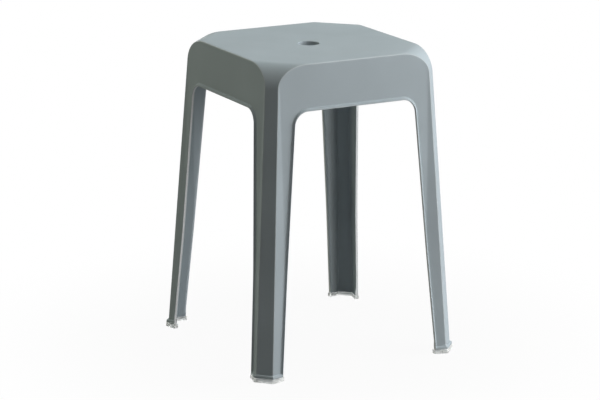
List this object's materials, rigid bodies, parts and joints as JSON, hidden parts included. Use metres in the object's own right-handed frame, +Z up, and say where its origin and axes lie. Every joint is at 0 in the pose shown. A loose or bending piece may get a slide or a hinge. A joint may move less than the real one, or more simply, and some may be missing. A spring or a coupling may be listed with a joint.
{
  "type": "stacking stool",
  "caption": "Square stacking stool: a moulded plastic seat and splayed channel legs in one body, arched sides, a small hole in the dished seat and soft caps on the feet.",
  "frame": {"origin": "on the floor, under the middle of the seat", "axes": "+Z up; the front of the stool faces -Y and its left side faces -X; all four sides are alike"},
  "size_m": [0.3324, 0.3324, 0.45],
  "materials": {
    "body_plastic": "satin moulded polypropylene, blue-grey, with a very fine mould texture",
    "cap_plastic": "frosted clear soft plastic"
  },
  "bodies": {
    "root": {"stool_body": "body_plastic", "foot_cap_front_left": "cap_plastic", "foot_cap_front_right": "cap_plastic", "foot_cap_back_left": "cap_plastic", "foot_cap_back_right": "cap_plastic"}
  },
  "joints": []
}
